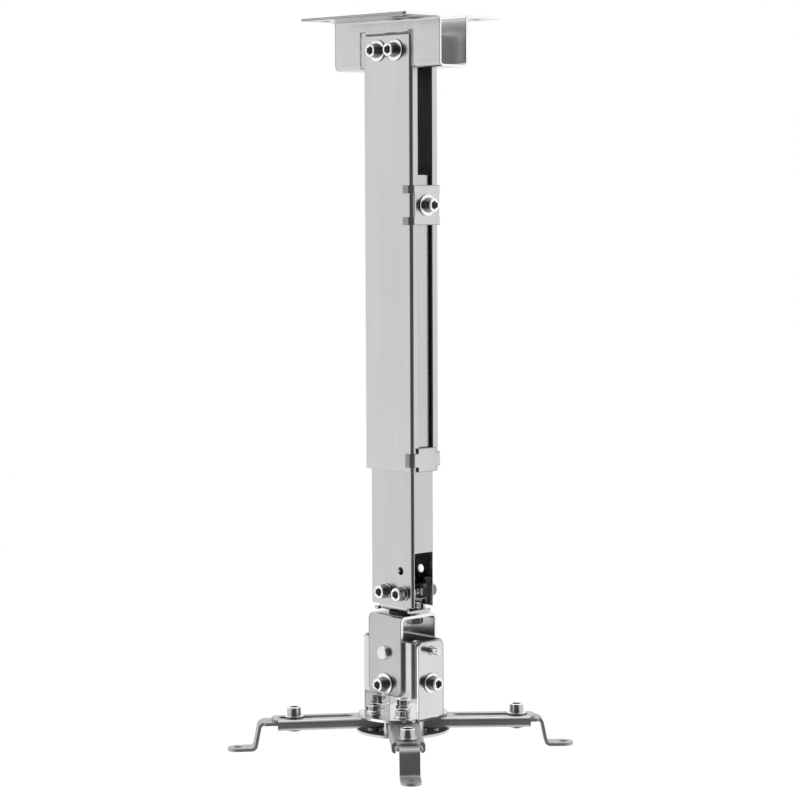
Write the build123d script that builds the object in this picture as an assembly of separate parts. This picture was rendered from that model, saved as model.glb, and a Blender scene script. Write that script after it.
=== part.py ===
"""Projector ceiling mount: folded brackets, telescopic tubes, a tilt head and four arms with feet.

Millimetres. The origin is on the column's axis in the ceiling plane, and +Z points up.
+X runs along the bracket, and the broad faces of the tubes look along -Y and +Y.
"""

import os
from math import cos, radians, sin

from build123d import *

os.makedirs("parts", exist_ok=True)

# Fasteners: M5 socket bolts on the tubes and in the tilt head, M6 at the pan joint, the hub and the arms
m5 = {"shank": 2.5, "head_r": 4.3, "head_h": 5.0, "socket": 2.3, "flats": 8.0, "nut_h": 4.0,
      "flat_t": 1.0, "spring_r": 4.8, "spring_t": 1.2}
m6 = {"shank": 3.0, "head_r": 5.0, "head_h": 6.0, "socket": 2.9, "flats": 10.0, "nut_h": 5.0, "flat_t": 1.2}
socket_depth = 3.2
washer_r = 7.1
shoe_washer_r = 5.2
roll_washer_r = 7.2
pitch_washer_r = 6.6
bolt_tail = 1.2

# Fits
thread_gap = 0.05
bolt_gap = 0.3
pivot_gap = 0.06
slide_gap = 0.25
turn_gap = 0.2
tab_gap = 0.15
slot_gap = 0.3

# Ceiling bracket
bracket_t = 1.5
bracket_bend = 2.0
bracket_round = 3.0
bracket_length = 98.0
bracket_height = 33.0
bracket_reach = 43.2
slit_inner = 20.2
slit_outer = 24.5
slit_top = -9.0
tab_bottom = -32.0
ceiling_hole_r = 3.25
ceiling_hole_x = 36.5
ceiling_hole_y = 32.0
ceiling_slot_x = 27.0
ceiling_slot_y = 26.0
ceiling_slot_length = 18.0

# Outer tube
outer_x = 45.0
outer_y = 25.0
outer_wall = 1.5
outer_corner = 2.6
outer_top = -11.5
outer_bottom = -293.4
slot_width = 13.0
slot_top = -30.0
top_bolt_spacing = 16.4
top_bolt_z = -21.0

# Slot end clip
clip_t = 1.4
clip_height = 15.5
clip_half = 8.0
clip_wing_height = 9.0
clip_wing_x = 17.5

# Inner tube
inner_x = 40.0
inner_y = 20.0
inner_wall = 1.5
inner_corner = 2.4
inner_top = -101.3
inner_bottom = -382.9
window_top = -347.0
window_half = 8.2
cross_hole_r = 2.7
cross_hole_x = 8.6
cross_hole_z = -359.3

# Clamp
clamp_z = -120.6
clamp_height = 25.6
clamp_t = 1.5
clamp_tab_height = 5.2
clamp_tab_x = 16.5

# Shoe
shoe_t = 2.0
shoe_bend = 0.8
shoe_drop = 4.1
shoe_tab_half = 16.0
shoe_bend_half = 13.0
shoe_base_half = 17.2
shoe_base_y = 9.0
shoe_tab_top = -363.5
shoe_relief = 0.8
shoe_round = 5.0
shoe_bolt_x = 2.9
shoe_bolt_spacing = 16.0
shoe_bolt_z = -373.9

# Pan joint
pan_washer_t = 1.5
pan_washer_r = 9.0
pan_lock_x = 11.2
pan_head_r = 4.3
pan_head_h = 3.5
pan_nut_h = 4.0
pan_tail = 0.3
pan_tail_r = 4.0
pan_range = 8.0

# Yoke
yoke_t = 2.0
yoke_bend = 2.0
yoke_half_x = 15.4
yoke_half_y = 16.4
yoke_height = 53.0
yoke_round = 5.0

# Roll joint: rivets and lock bolts along Y
roll_z = -413.5
roll_lock_drop = 20.7
roll_range = 15.0
rivet_r = 3.0
rivet_head_r = 4.6
rivet_head_h = 3.2
rivet_tail_r = 4.4
rivet_tail_h = 1.4

# Tilt block
block_t = 1.5
block_corner = 3.6
block_top = -405.0
block_height = 36.6
block_overhang = 9.2

# Pitch joint: pins and lock bolts along X
pitch_z = -410.7
pitch_lock_drop = 21.5
pitch_range = 15.0
pin_r = 2.5
pin_out = 7.4
pin_head_r = 4.4
pin_head_h = 1.4

# Cradle
cradle_t = 1.8
cradle_bend = 1.6
cradle_half_y = 11.5
cradle_height = 52.5
cradle_bottom = -457.1
cradle_round = 4.0
cradle_relief = 0.8
hub_r = 29.4

# Hub
hub_bolt = 13.0
hub_head_h = 3.9
hub_head_r = 4.6
hub_flange_r = 5.4
hub_flange_t = 1.0
lower_disc_r = 31.0
lower_disc_t = 1.7
lower_disc_gap = 1.1
spacer_r = 5.6
hub_nut_h = 4.0

# Arms
arm_t = 1.5
arm_bend = 0.9
arm_lip_bend = 0.6
arm_width = 21.4
arm_height = 7.0
arm_lip = 2.6
arm_length = 68.6
arm_tongue = 3.0
arm_tongue_round = 5.0
arm_side_start = -4.6
arm_slot_width = 6.8
arm_slot_start = 15.0
arm_slot_end = 64.0

# Feet
foot_t = 2.0
foot_width = 13.1
foot_gap = 0.5
foot_shoulder = 2.8
foot_shoulder_round = 1.5
foot_bend = 2.2
foot_drop = 17.0
foot_slant = 3.4
foot_knee = 13.9
foot_hole_r = 2.75
foot_tail = 9.0
foot_slot_near = 29.0
foot_slot_far = 40.0
foot_washer_r = 6.4
foot_head_r = 4.7
foot_washer_t = 1.2

# Where each arm points and how far out its bolt and foot stand: quadrant, swing, bolt, hole
arm_places = {
    "front": (-45.0, 4.5, 57.0, 91.5),
    "left": (-135.0, 9.0, 54.0, 91.4),
    "rear": (135.0, 0.0, 57.0, 91.0),
    "right": (45.0, 3.0, 56.8, 87.8),
}

# Places that follow from the sizes
wall_half = outer_y / 2
shoe_bottom = inner_bottom - shoe_drop
shoe_base_top = shoe_bottom + shoe_t
shoe_half_y = inner_y / 2 - inner_wall - tab_gap
yoke_top = shoe_bottom - pan_washer_t - tab_gap
yoke_under = yoke_top - yoke_t
yoke_bottom = yoke_top - yoke_height
block_half_y = yoke_half_y - yoke_t - turn_gap
block_half_x = yoke_half_x + block_overhang
block_bottom = block_top - block_height
cradle_half_x = block_half_x + turn_gap + cradle_t
cradle_top = cradle_bottom + cradle_height
hub_top = cradle_bottom + cradle_t
arm_top = cradle_bottom - tab_gap
arm_under = arm_top - arm_t
lower_disc_top = arm_top - arm_height - lower_disc_gap
foot_top = arm_under - tab_gap
foot_face = foot_top - foot_drop - foot_t


def save(name, piece):
    """Write one node, which may be a group of like solids."""
    if isinstance(piece, (list, tuple)):
        piece = Compound(children=list(piece))
    export_step(piece, f"parts/{name}.step")


def folded(plane, points, bends, thickness, side, half_width):
    """Sheet folded along a path in a plane, thickened to one side, and as wide on both sides of the plane."""
    path = FilletPolyline(*points, radius=bends)
    outline = offset(path, amount=thickness, side=side)
    return extrude(plane * make_face(outline.edges()), amount=half_width, both=True)


def block_between(x, y, z):
    """Box between a low and a high value along each axis."""
    size = (x[1] - x[0], y[1] - y[0], z[1] - z[0])
    return Pos((x[0] + x[1]) / 2, (y[0] + y[1]) / 2, (z[0] + z[1]) / 2) * Box(*size)


def frame_tube(x, y, corner, wall, low, high):
    """Rectangular tube with rounded corners."""
    section = RectangleRounded(x, y, corner) - RectangleRounded(x - 2 * wall, y - 2 * wall, corner - wall)
    return Pos(0, 0, low) * extrude(section, amount=high - low)


def rod(place, radius, length):
    """Cylinder that starts at a place and runs along the place's own Z."""
    return place * Cylinder(radius, length, align=(Align.CENTER, Align.CENTER, Align.MIN))


def ring(place, outer, inner, thickness):
    """Flat washer on a place."""
    return rod(place, outer, thickness) - rod(place, inner, thickness)


def facing(point, direction):
    """Place at a point, its Z along a direction."""
    return Location(Plane(origin=point, z_dir=direction))


def socket_bolt(size, seat, shank, head_r=None, head_h=None):
    """Socket head bolt of a size: the head stands on the seat, and the shank runs the other way."""
    height = head_h or size["head_h"]
    head = rod(seat, head_r or size["head_r"], height)
    key = extrude(RegularPolygon(size["socket"], 6, major_radius=False), amount=-min(socket_depth, height - 1))
    back = seat * Rot(180, 0, 0)
    return head + rod(back, size["shank"], shank) - seat * Pos(0, 0, height) * key


def hex_nut(size, place, height=None):
    """Hexagon nut of a size that stands on a place, with a plain bore for its thread."""
    tall = height or size["nut_h"]
    body = place * extrude(RegularPolygon(size["flats"] / 2, 6, major_radius=False), amount=tall)
    return body - rod(place, size["shank"] + thread_gap, tall)


def arc_slot(place, radius, swing, half_width, depth):
    """Cutter for an arc slot below a pivot: it follows a bolt that swings about the place's Z."""
    run = CenterArc((0, 0), radius, -90 - swing, 2 * swing)
    return place * extrude(SlotArc(run, 2 * half_width), amount=depth, both=True)


def fastened(size, direction, at, face, washer_outer, inner_side):
    """Bolt, flat washer, spring washer and nut through a wall stack.

    direction is outwards, at is the bolt's point on the axis through the stack, face is where the flat washer
    sits along the direction, and inner_side is where the nut sits.
    """
    def on(distance, way=1):
        point = [at[i] + direction[i] * distance for i in range(3)]
        return facing(point, [way * value for value in direction])

    hole = size["shank"] + bolt_gap
    flat = ring(on(face), washer_outer, hole, size["flat_t"])
    spring = ring(on(face + size["flat_t"]), size["spring_r"], hole, size["spring_t"])
    seat = face + size["flat_t"] + size["spring_t"]
    nut = hex_nut(size, on(inner_side, -1))
    bolt = socket_bolt(size, on(seat), seat - inner_side + size["nut_h"] + bolt_tail)
    return bolt, flat, spring, nut


# Ceiling bracket: a hat section, slit and cut away round the tube, with tabs joggled into the tube
channel_inner = wall_half - bracket_t
web_top = -bracket_height + bracket_t
top_bend = bracket_bend + bracket_t
hat = folded(
    Plane.YZ,
    [(-bracket_reach, 0), (-channel_inner, 0), (-channel_inner, web_top),
     (channel_inner, web_top), (channel_inner, 0), (bracket_reach, 0)],
    [top_bend, bracket_bend, bracket_bend, top_bend],
    bracket_t, Side.RIGHT, bracket_length / 2,
)
hat -= block_between((-slit_outer, slit_outer), (-outer_y, outer_y), (-bracket_height - 1, slit_top))
tab_inner = wall_half - outer_wall - tab_gap - bracket_t
joggle = channel_inner - tab_inner
for way in (-1, 1):
    tab_path = [(way * channel_inner, slit_top + bracket_t), (way * channel_inner, slit_top),
                (way * tab_inner, slit_top - joggle), (way * tab_inner, tab_bottom)]
    tab_side = Side.RIGHT if way < 0 else Side.LEFT
    hat += folded(Plane.YZ, tab_path, [0.4, bracket_t + 0.4], bracket_t, tab_side, slit_inner)
    for across in (-1, 1):
        hat -= rod(Pos(across * ceiling_hole_x, way * ceiling_hole_y, -bracket_t), ceiling_hole_r, bracket_t)
    slot_place = Pos(-way * ceiling_slot_x, way * ceiling_slot_y, -bracket_t)
    hat -= slot_place * extrude(SlotOverall(ceiling_slot_length, 2 * ceiling_hole_r), amount=bracket_t)
flange_corners = hat.edges().filter_by(Axis.Z).filter_by(lambda e: abs(e.center().Y) > bracket_reach - 1)
hat = fillet(flange_corners, 2.0)
for way in (-1, 1):
    span = sorted((way * slit_outer, way * (slit_outer + bracket_round)))
    corner = block_between(span, (-outer_y, outer_y), (-bracket_height, -bracket_height + bracket_round))
    centre = (way * (slit_outer + bracket_round), -outer_y, -bracket_height + bracket_round)
    hat -= corner - rod(facing(centre, (0, 1, 0)), bracket_round, 2 * outer_y)

# Outer tube: slotted from below the bracket to its open end, where the clip closes it
outer_tube = frame_tube(outer_x, outer_y, outer_corner, outer_wall, outer_bottom, outer_top)
slot_span = (outer_x / 2 - 2 * outer_wall, outer_x / 2 + 1)
outer_tube -= block_between(slot_span, (-slot_width / 2, slot_width / 2), (outer_bottom - 1, slot_top))

# Top bolts: through the tube's broad walls and the bracket's tabs, with nuts inside
top_parts = []
for way in (-1, 1):
    for across in (-1, 1):
        at = (across * top_bolt_spacing / 2, 0, top_bolt_z)
        top_parts.append(fastened(m5, (0, way, 0), at, wall_half, washer_r, tab_inner))
        cut = rod(facing(at, (0, way, 0)), m5["shank"] + bolt_gap, wall_half + 1)
        hat -= cut
        outer_tube -= cut

save("ceiling_bracket", hat)
save("outer_tube", outer_tube)
for name, group in zip(("top_bolts", "top_washers", "top_spring_washers", "top_nuts"), zip(*top_parts)):
    save(name, group)

# Slot end clip: a saddle over the end of the slot, its two wings hugging the tube's corners
clip_top = outer_bottom + clip_height
clip_inner = [(clip_wing_x, -wall_half), (outer_x / 2, -wall_half), (outer_x / 2, wall_half),
              (clip_wing_x, wall_half)]
clip = folded(Plane.XY, clip_inner, outer_corner, clip_t, Side.RIGHT, clip_height / 2)
clip = Pos(0, 0, outer_bottom + clip_height / 2) * clip
wing_trim = (clip_height - clip_wing_height) / 2
for low in (outer_bottom, clip_top - wing_trim):
    for way in (-1, 1):
        span = sorted((way * clip_half, way * outer_y))
        clip -= block_between((0, outer_x), span, (low, low + wing_trim))
save("slot_end_clip", clip)

# Inner tube: a window at its lower end, a cross hole and the holes of the bolts
inner_tube = frame_tube(inner_x, inner_y, inner_corner, inner_wall, inner_bottom, inner_top)
window_span = (inner_x / 2 - 2 * inner_wall, inner_x / 2 + 1)
inner_tube -= block_between(window_span, (-window_half, window_half), (inner_bottom - 1, window_top))
inner_tube -= rod(facing((cross_hole_x, -inner_y, cross_hole_z), (0, 1, 0)), cross_hole_r, 2 * inner_y)

# Clamp: a plate hooked round the outer tube, pulled against it by a bolt through the slot
clamp_inner_x = outer_x / 2 + slide_gap
clamp_inner_y = wall_half + slide_gap
clamp_path = [(clamp_tab_x, -clamp_inner_y), (clamp_inner_x, -clamp_inner_y),
              (clamp_inner_x, clamp_inner_y), (clamp_tab_x, clamp_inner_y)]
clamp_plate = folded(Plane.XY, clamp_path, outer_corner + slide_gap, clamp_t, Side.RIGHT, clamp_height / 2)
clamp_plate = Pos(0, 0, clamp_z) * clamp_plate
notch = clamp_height / 2 - clamp_tab_height
for way in (-1, 1):
    span = sorted((way * (clamp_inner_y - outer_corner + 1), way * outer_y))
    clamp_plate -= block_between((0, outer_x), span, (clamp_z - notch, clamp_z + notch))
clamp_parts = fastened(
    m5, (1, 0, 0), (0, 0, clamp_z), clamp_inner_x + clamp_t, washer_r, inner_x / 2 - inner_wall
)
clamp_cut = rod(facing((0, 0, clamp_z), (1, 0, 0)), m5["shank"] + bolt_gap, outer_x)
clamp_plate -= clamp_cut
inner_tube -= clamp_cut
save("clamp_plate", clamp_plate)
for name, piece in zip(("clamp_bolt", "clamp_washer", "clamp_spring_washer", "clamp_nut"), clamp_parts):
    save(name, piece)

# Shoe: a U bracket whose legs stand inside the inner tube, with relief notches beside its bends
shoe_wide_low = shoe_bottom + shoe_t + shoe_bend + 2
shoe_wall_top = shoe_wide_low + 1
shoe_path = [(-shoe_half_y, shoe_wall_top), (-shoe_half_y, shoe_bottom), (shoe_half_y, shoe_bottom),
             (shoe_half_y, shoe_wall_top)]
shoe = folded(Plane.YZ, shoe_path, shoe_bend + shoe_t, shoe_t, Side.LEFT, shoe_bend_half)
for way in (-1, 1):
    span = sorted((way * (shoe_half_y - shoe_t), way * shoe_half_y))
    leg = block_between((-shoe_tab_half, shoe_tab_half), span, (shoe_wide_low, shoe_tab_top))
    leg = fillet(leg.edges().filter_by(Axis.Y).group_by(Axis.Z)[-1], shoe_round)
    shoe += leg
    ear = sorted((way * (shoe_bend_half + shoe_relief), way * shoe_base_half))
    shoe += block_between(ear, (-shoe_base_y, shoe_base_y), (shoe_bottom, shoe_base_top))
bridge_half = shoe_half_y - shoe_t - shoe_bend
bridge_span = (-shoe_base_half, shoe_base_half)
shoe += block_between(bridge_span, (-bridge_half, bridge_half), (shoe_bottom, shoe_base_top))

# Shoe bolts: through the inner tube and the legs
shoe_parts = []
for way in (-1, 1):
    for across in (-1, 1):
        at = (shoe_bolt_x + across * shoe_bolt_spacing / 2, 0, shoe_bolt_z)
        shoe_parts.append(fastened(m5, (0, way, 0), at, inner_y / 2, shoe_washer_r, shoe_half_y - shoe_t))
        cut = rod(facing(at, (0, way, 0)), m5["shank"] + bolt_gap, inner_y)
        shoe -= cut
        inner_tube -= cut
save("inner_tube", inner_tube)
for name, group in zip(("shoe_bolts", "shoe_washers", "shoe_spring_washers", "shoe_nuts"), zip(*shoe_parts)):
    save(name, group)

# Pan joint: a rivet on the column's axis, and a lock bolt in an arc slot of the shoe
pan_slot = CenterArc((0, 0), pan_lock_x, -pan_range, 2 * pan_range)
shoe -= Pos(0, 0, shoe_bottom - 1) * extrude(SlotArc(pan_slot, 2 * (m6["shank"] + slot_gap)), amount=shoe_t + 2)
shoe -= rod(Pos(0, 0, shoe_bottom), rivet_r + pivot_gap, shoe_t)
save("shoe", shoe)
pan_washer = ring(Pos(0, 0, yoke_top), pan_washer_r, rivet_r + bolt_gap, pan_washer_t)
pan_washer -= rod(Pos(pan_lock_x, 0, yoke_top), m6["shank"] + 2 * bolt_gap, pan_washer_t + 1)
save("pan_washer", pan_washer)
rivet_low = yoke_under - rivet_tail_h
pan_rivet = rod(Pos(0, 0, rivet_low), rivet_r, shoe_base_top - rivet_low + turn_gap)
pan_rivet += rod(Pos(0, 0, rivet_low), pan_tail_r, rivet_tail_h)
pan_rivet += rod(Pos(0, 0, shoe_base_top + turn_gap), pan_tail_r, rivet_tail_h)
save("pan_rivet", pan_rivet)
pan_seat = shoe_base_top + turn_gap
pan_lock_washer = ring(Pos(pan_lock_x, 0, pan_seat), pan_head_r, m6["shank"] + bolt_gap, m6["flat_t"])
save("pan_lock_washer", pan_lock_washer)
pan_bolt_seat = pan_seat + m6["flat_t"]
pan_shank = pan_bolt_seat - yoke_under + pan_nut_h + pan_tail
save("pan_lock_bolt", socket_bolt(m6, Pos(pan_lock_x, 0, pan_bolt_seat), pan_shank, pan_head_r, pan_head_h))
save("pan_lock_nut", hex_nut(m6, facing((pan_lock_x, 0, yoke_under), (0, 0, -1)), pan_nut_h))

# Yoke: an inverted U, its walls outside the block
yoke_path = [(-yoke_half_y, yoke_bottom), (-yoke_half_y, yoke_top), (yoke_half_y, yoke_top),
             (yoke_half_y, yoke_bottom)]
yoke = folded(Plane.YZ, yoke_path, yoke_bend + yoke_t, yoke_t, Side.RIGHT, yoke_half_x)
yoke_corners = [e for e in yoke.edges().filter_by(Axis.Y) if e.center().Z < yoke_bottom + 1]
yoke = fillet(yoke_corners, yoke_round)
yoke -= rod(Pos(0, 0, yoke_under), rivet_r, yoke_t)
yoke -= rod(Pos(pan_lock_x, 0, yoke_under), m6["shank"] + bolt_gap, yoke_t)

# Tilt block: a folded ring that carries both tilt joints
block = frame_tube(2 * block_half_x, 2 * block_half_y, block_corner, block_t, block_bottom, block_top)

# Roll joint: rivets and lock bolts through the yoke's walls and the block's front and rear walls
roll_lock_z = roll_z - roll_lock_drop
block_inner_y = block_half_y - block_t
roll_parts = []
roll_rivets = []
for way in (-1, 1):
    direction = (0, way, 0)
    at = (0, 0, roll_lock_z)
    roll_parts.append(fastened(m5, direction, at, yoke_half_y, roll_washer_r, block_inner_y - turn_gap))
    outside = facing((0, way * yoke_half_y, roll_z), direction)
    rivet = rod(outside, rivet_head_r, rivet_head_h)
    reach = yoke_half_y - block_inner_y + turn_gap
    rivet += rod(outside * Rot(180, 0, 0), rivet_r, reach + rivet_tail_h)
    tail = facing((0, way * (block_inner_y - turn_gap), roll_z), (0, -way, 0))
    rivet += rod(tail, rivet_tail_r, rivet_tail_h)
    roll_rivets.append(rivet)
    yoke -= rod(facing((0, 0, roll_z), direction), rivet_r, outer_x)
    yoke -= rod(facing(at, direction), m5["shank"] + bolt_gap, outer_x)
    block -= rod(facing((0, 0, roll_z), direction), rivet_r + pivot_gap, outer_x)
    pivot = Location(Plane(origin=(0, way * block_half_y, roll_z), x_dir=(1, 0, 0), z_dir=(0, -1, 0)))
    block -= arc_slot(pivot, roll_lock_drop, roll_range, m5["shank"] + slot_gap, 2 * block_t)
save("yoke", yoke)
save("roll_rivets", roll_rivets)
roll_names = ("roll_lock_bolts", "roll_lock_washers", "roll_lock_spring_washers", "roll_lock_nuts")
for name, group in zip(roll_names, zip(*roll_parts)):
    save(name, group)

# Cradle: an upright U whose walls stand outside the block, and whose base widens to a round hub
cradle_path = [(-cradle_half_x, cradle_top), (-cradle_half_x, cradle_bottom), (cradle_half_x, cradle_bottom),
               (cradle_half_x, cradle_top)]
cradle = folded(Plane.XZ, cradle_path, cradle_bend + cradle_t, cradle_t, Side.LEFT, cradle_half_y)
cradle_corners = [e for e in cradle.edges().filter_by(Axis.X) if e.center().Z > cradle_top - 1]
cradle = fillet(cradle_corners, cradle_round)
ear_half = cradle_half_x - cradle_t
hub_plate = rod(Pos(0, 0, cradle_bottom), hub_r, cradle_t)
hub_plate &= block_between((-ear_half, ear_half), (-hub_r, hub_r), (cradle_bottom, hub_top))
for across in (-1, 1):
    for way in (-1, 1):
        x_span = sorted((across * (ear_half - cradle_bend - cradle_relief), across * cradle_half_x))
        y_span = sorted((way * (cradle_half_y - cradle_relief), way * (cradle_half_y + cradle_relief)))
        hub_plate -= block_between(x_span, y_span, (cradle_bottom, hub_top))
cradle += hub_plate

# Pitch joint: pins and lock bolts through the cradle's walls and the block's side walls
pitch_lock_z = pitch_z - pitch_lock_drop
block_inner_x = block_half_x - block_t
pitch_parts = []
pitch_pins = []
for way in (-1, 1):
    direction = (way, 0, 0)
    inside = block_inner_x - turn_gap
    at = (0, 0, pitch_lock_z)
    pitch_parts.append(fastened(m5, direction, at, cradle_half_x, pitch_washer_r, inside))
    pin_length = cradle_half_x - block_inner_x + pin_out
    pin = rod(facing((way * block_inner_x, 0, pitch_z), direction), pin_r, pin_length)
    pin += rod(facing((way * block_inner_x, 0, pitch_z), (-way, 0, 0)), pin_head_r, pin_head_h)
    pitch_pins.append(pin)
    cradle -= rod(facing((0, 0, pitch_z), direction), pin_r + pivot_gap, outer_x)
    cradle -= rod(facing(at, direction), m5["shank"] + bolt_gap, outer_x)
    block -= rod(facing((0, 0, pitch_z), direction), pin_r, outer_x)
    pivot = Location(Plane(origin=(way * block_half_x, 0, pitch_z), x_dir=(0, 1, 0), z_dir=(1, 0, 0)))
    block -= arc_slot(pivot, pitch_lock_drop, pitch_range, m5["shank"] + slot_gap, 2 * block_t)
save("tilt_block", block)
save("pitch_pins", pitch_pins)
pitch_names = ("pitch_lock_bolts", "pitch_lock_washers", "pitch_lock_spring_washers", "pitch_lock_nuts")
for name, group in zip(pitch_names, zip(*pitch_parts)):
    save(name, group)

# Hub: four bolts hold the arms between the cradle's base and the lower disc
lower_disc = rod(Pos(0, 0, lower_disc_top - lower_disc_t), lower_disc_r, lower_disc_t)
hub_bolts = []
hub_spacers = []
hub_nuts = []
for across in (-1, 1):
    for way in (-1, 1):
        x, y = across * hub_bolt, way * hub_bolt
        shank = hub_top - lower_disc_top + lower_disc_t + hub_nut_h + bolt_tail
        head_seat = Pos(x, y, hub_top + hub_flange_t)
        bolt = socket_bolt(m6, head_seat, shank + hub_flange_t, hub_head_r, hub_head_h)
        hub_bolts.append(bolt + rod(Pos(x, y, hub_top), hub_flange_r, hub_flange_t))
        bore = m6["shank"] + thread_gap
        low = lower_disc_top - lower_disc_t
        hub_spacers.append(ring(Pos(x, y, lower_disc_top), spacer_r, bore, foot_top - lower_disc_top))
        hub_nuts.append(hex_nut(m6, facing((x, y, low), (0, 0, -1)), hub_nut_h))
        through = rod(Pos(x, y, low), bore, hub_top - low)
        cradle -= through
        lower_disc -= through
save("cradle", cradle)
save("lower_disc", lower_disc)
save("hub_bolts", hub_bolts)
save("hub_spacers", hub_spacers)
save("hub_nuts", hub_nuts)


def arm():
    """Lipped channel along +X from its hub bolt at the origin, its top in the plane Z = 0."""
    half = arm_width / 2
    path = [(-half + arm_lip, -arm_height), (-half, -arm_height), (-half, 0), (half, 0), (half, -arm_height),
            (half - arm_lip, -arm_height)]
    bend = arm_bend + arm_t
    lip_bend = arm_lip_bend + arm_t
    shape = folded(Plane.YZ, path, [lip_bend, bend, bend, lip_bend], arm_t, Side.RIGHT, arm_length)
    reach = arm_length - arm_tongue
    shape &= block_between((arm_side_start, reach), (-half, half), (-arm_height, 0))
    web = block_between((0, arm_length), (-half + bend, half - bend), (-arm_t, 0))
    web = fillet(web.edges().filter_by(Axis.Z).sort_by(Axis.X)[-2:], arm_tongue_round)
    shape += web
    shape += rod(Pos(0, 0, -arm_t), half, arm_t) & block_between((-half, 0), (-half, half), (-arm_t, 0))
    slot_length = arm_slot_end - arm_slot_start
    slot = SlotOverall(slot_length, arm_slot_width)
    shape -= Pos(arm_slot_start + slot_length / 2, 0, -arm_t) * extrude(slot, amount=arm_t)
    return shape - rod(Pos(0, 0, -arm_t), m6["shank"] + pivot_gap, arm_t)


def foot(hole, bolt):
    """Z-shaped strap along +X, with its screw hole at one distance and its slot round the bolt at another."""
    knee = hole - foot_knee
    start = hole - foot_slot_far - foot_tail
    end = hole + foot_width / 2
    low = -foot_drop
    path = [(start, 0), (knee, 0), (knee + foot_slant, low), (end, low)]
    plate_half = arm_width / 2 - arm_t - foot_gap
    strap = folded(Plane.XZ, path, [foot_bend + foot_t, foot_bend], foot_t, Side.RIGHT, plate_half)
    shoulder = knee - foot_shoulder
    for way in (-1, 1):
        span = sorted((way * foot_width / 2, way * plate_half))
        strap -= block_between((shoulder, end), span, (low - foot_t, 0))
    shoulders = [e for e in strap.edges().filter_by(Axis.Z) if abs(e.center().X - shoulder) < 0.1
                 and abs(e.center().Y) > plate_half - 0.1]
    strap = fillet(shoulders, foot_shoulder_round)
    tips = [e for e in strap.edges().filter_by(Axis.Z) if e.center().X > end - 1]
    strap = fillet(tips, foot_width / 2 - 0.05)
    strap -= rod(Pos(hole, 0, low - foot_t - 1), foot_hole_r, foot_t + 2)
    slot_half = m6["shank"] + slot_gap
    slot_length = foot_slot_far - foot_slot_near + 2 * slot_half
    slot_middle = hole - (foot_slot_far + foot_slot_near) / 2
    slot = SlotOverall(slot_length, 2 * slot_half)
    return strap - Pos(slot_middle, 0, -foot_t) * extrude(slot, amount=foot_t)


# Arms and feet: like pieces, each turned to its place about its hub bolt
for name, (quadrant, swing, bolt, hole) in arm_places.items():
    x = hub_bolt * (1 if cos(radians(quadrant)) > 0 else -1)
    y = hub_bolt * (1 if sin(radians(quadrant)) > 0 else -1)
    place = Pos(x, y, arm_top) * Rot(0, 0, quadrant + swing)
    under = Pos(0, 0, foot_top - arm_top)
    save(f"arm_{name}", place * arm())
    save(f"foot_{name}", place * under * foot(hole, bolt))
    seat = Pos(bolt, 0, 0)
    save(f"foot_washer_{name}", place * ring(seat, foot_washer_r, m6["shank"] + bolt_gap, foot_washer_t))
    nut_z = foot_top - arm_top - foot_t
    shank = foot_washer_t - nut_z + m6["nut_h"] + bolt_tail
    save(f"foot_bolt_{name}", place * socket_bolt(m6, Pos(bolt, 0, foot_washer_t), shank, foot_head_r))
    nut_place = Pos(bolt, 0, nut_z) * Rot(180, 0, 0)
    save(f"foot_nut_{name}", place * hex_nut(m6, nut_place))
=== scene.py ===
"""Projector ceiling mount, hung in a pale studio: a zinc plated bracket, two telescopic tubes, a tilt head of
nested folded brackets, and four slotted arms with their feet. The studio is in metres, in the frame of the
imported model. New pieces are worked out in millimetres, and become metres with their meshes.
"""

import bpy
import numpy as np
from mathutils import Matrix, Vector


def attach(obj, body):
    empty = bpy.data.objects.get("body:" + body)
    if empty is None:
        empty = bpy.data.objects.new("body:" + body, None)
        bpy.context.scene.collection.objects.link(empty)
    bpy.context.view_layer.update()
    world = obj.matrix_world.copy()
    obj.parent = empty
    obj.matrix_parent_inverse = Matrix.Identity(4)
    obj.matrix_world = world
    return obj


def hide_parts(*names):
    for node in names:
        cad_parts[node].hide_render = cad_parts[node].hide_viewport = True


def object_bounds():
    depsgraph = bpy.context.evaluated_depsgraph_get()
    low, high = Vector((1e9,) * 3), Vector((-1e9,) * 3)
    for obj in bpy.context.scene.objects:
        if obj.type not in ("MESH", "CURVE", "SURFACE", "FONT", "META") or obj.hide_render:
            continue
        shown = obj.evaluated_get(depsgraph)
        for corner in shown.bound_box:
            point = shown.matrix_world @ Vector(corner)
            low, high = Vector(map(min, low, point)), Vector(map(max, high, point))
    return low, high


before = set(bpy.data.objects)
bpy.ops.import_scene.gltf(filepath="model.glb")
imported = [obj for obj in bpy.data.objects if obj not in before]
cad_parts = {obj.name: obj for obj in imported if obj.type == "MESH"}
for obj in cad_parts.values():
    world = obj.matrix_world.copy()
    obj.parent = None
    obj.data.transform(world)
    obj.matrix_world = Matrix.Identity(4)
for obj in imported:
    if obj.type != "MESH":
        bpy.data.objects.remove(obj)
cad_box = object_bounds()


# The studio floor: pale matt paint, well below the mount, which hangs from its ceiling bracket.
# The paint glows a little to the lens and to the plating, so that the floor runs into the white room,
# and the mount's soft shadow stays on it.
def reckoned(tree, operation, *terms, kind="ShaderNodeMath", gives="Value"):
    """What one sum in a material gives. Each term is a number, a vector or what another node gives."""
    node = tree.nodes.new(kind)
    node.operation = operation
    for place, term in zip(node.inputs, terms):
        if isinstance(term, bpy.types.NodeSocket):
            tree.links.new(term, place)
        else:
            place.default_value = term
    return node.outputs[gives]


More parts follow.
